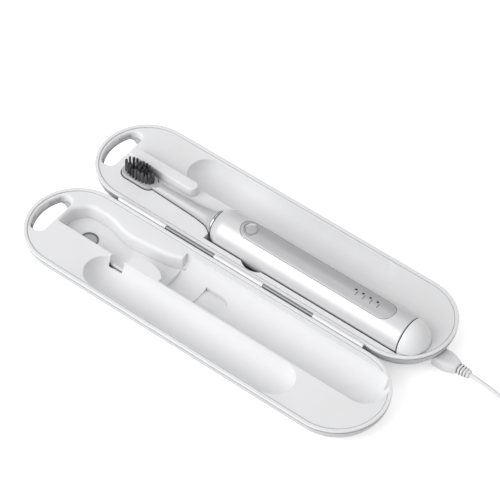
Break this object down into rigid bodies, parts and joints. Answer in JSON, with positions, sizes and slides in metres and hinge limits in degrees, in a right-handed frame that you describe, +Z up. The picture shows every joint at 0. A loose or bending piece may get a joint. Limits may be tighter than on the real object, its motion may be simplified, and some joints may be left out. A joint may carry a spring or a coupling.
{
  "type": "toothbrush sanitizer",
  "caption": "Pill-shaped hinged travel case that charges and disinfects a powered toothbrush, shown open flat with the brush in its cradle and a charging lead.",
  "frame": {"origin": "centre of the base half's resting plane, on the surface it stands on", "axes": "+X along the case towards its charging socket, +Y away from the lid, +Z up"},
  "size_m": [0.394, 0.133, 0.0312],
  "materials": {
    "shell_white": "satin",
    "tray_white": "satin",
    "insert_grey": "satin",
    "screw_steel": "satin",
    "foot_rubber": "matte",
    "magnet_metal": "polished",
    "hinge_metal": "satin",
    "dock_white": "satin",
    "copper": "satin",
    "ferrite": "matte",
    "board_green": "matte",
    "cell_wrap": "satin",
    "connector_metal": "polished",
    "lamp_ring": "gloss",
    "lamp_glass": "gloss",
    "lamp_die": "gloss",
    "handle_pearl": "satin",
    "panel_silver": "satin",
    "bezel_chrome": "polished",
    "button_grey": "satin",
    "light_lens": "gloss",
    "seal_black": "matte",
    "motor_steel": "satin",
    "neck_silver": "satin",
    "bristle_black": "matte",
    "lead_grey": "matte"
  },
  "bodies": {
    "base": {"base_shell": "shell_white", "base_tray": "tray_white", "base_pull_insert": "insert_grey", "base_screws": "screw_steel", "base_feet": "foot_rubber", "base_magnets": "magnet_metal", "hinge_pin": "hinge_metal", "charging_dock": "dock_white", "charging_coil": "copper", "ferrite_disc": "ferrite", "main_board": "board_green", "case_battery": "cell_wrap", "usb_receptacle": "connector_metal"},
    "lid": {"lid_shell": "shell_white", "lid_tray": "tray_white", "lid_pull_insert": "insert_grey", "lid_screws": "screw_steel", "lid_feet": "foot_rubber", "lid_magnets": "magnet_metal", "hinge_leaves": "hinge_metal", "lamp_bezel": "lamp_ring", "lamp_window": "lamp_glass", "lamp_board": "board_green", "uv_lamps": "lamp_die"},
    "brush": {"handle_shell": "handle_pearl", "handle_end_cap": "handle_pearl", "control_panel": "panel_silver", "button_bezel": "bezel_chrome", "indicator_lights": "light_lens", "seal_ring": "seal_black", "chrome_ring": "bezel_chrome", "motor": "motor_steel", "brush_battery": "cell_wrap", "brush_board": "board_green", "brush_coil": "copper"},
    "power_button": {"power_button": "button_grey"},
    "brush_head": {"brush_head": "neck_silver", "bristle_tufts": "bristle_black", "drive_shaft": "motor_steel"},
    "usb_lead": {"plug_shell": "connector_metal", "plug_overmold": "lead_grey", "lead_cable": "lead_grey", "usb_a_overmold": "lead_grey", "usb_a_shell": "connector_metal", "usb_a_insert": "seal_black"}
  },
  "joints": [
    {"name": "lid_hinge", "type": "hinge", "parent": "base", "child": "lid", "pos_m": [0, -0.034, 0.018], "axis": [1, 0, 0], "range_deg": [-180, 0]},
    {"name": "brush_lift", "type": "slide", "parent": "base", "child": "brush", "axis": [0, 0, 1], "range_m": [0, 0.06]},
    {"name": "power_press", "type": "slide", "parent": "brush", "child": "power_button", "axis": [0, 0, -1], "range_m": [0, 0.0006]},
    {"name": "head_sweep", "type": "hinge", "parent": "brush", "child": "brush_head", "pos_m": [0, -0.0122, 0.018], "axis": [1, 0, 0], "range_deg": [-3, 3]},
    {"name": "plug_pull", "type": "slide", "parent": "base", "child": "usb_lead", "axis": [1, 0, 0], "range_m": [0, 0.02]}
  ]
}
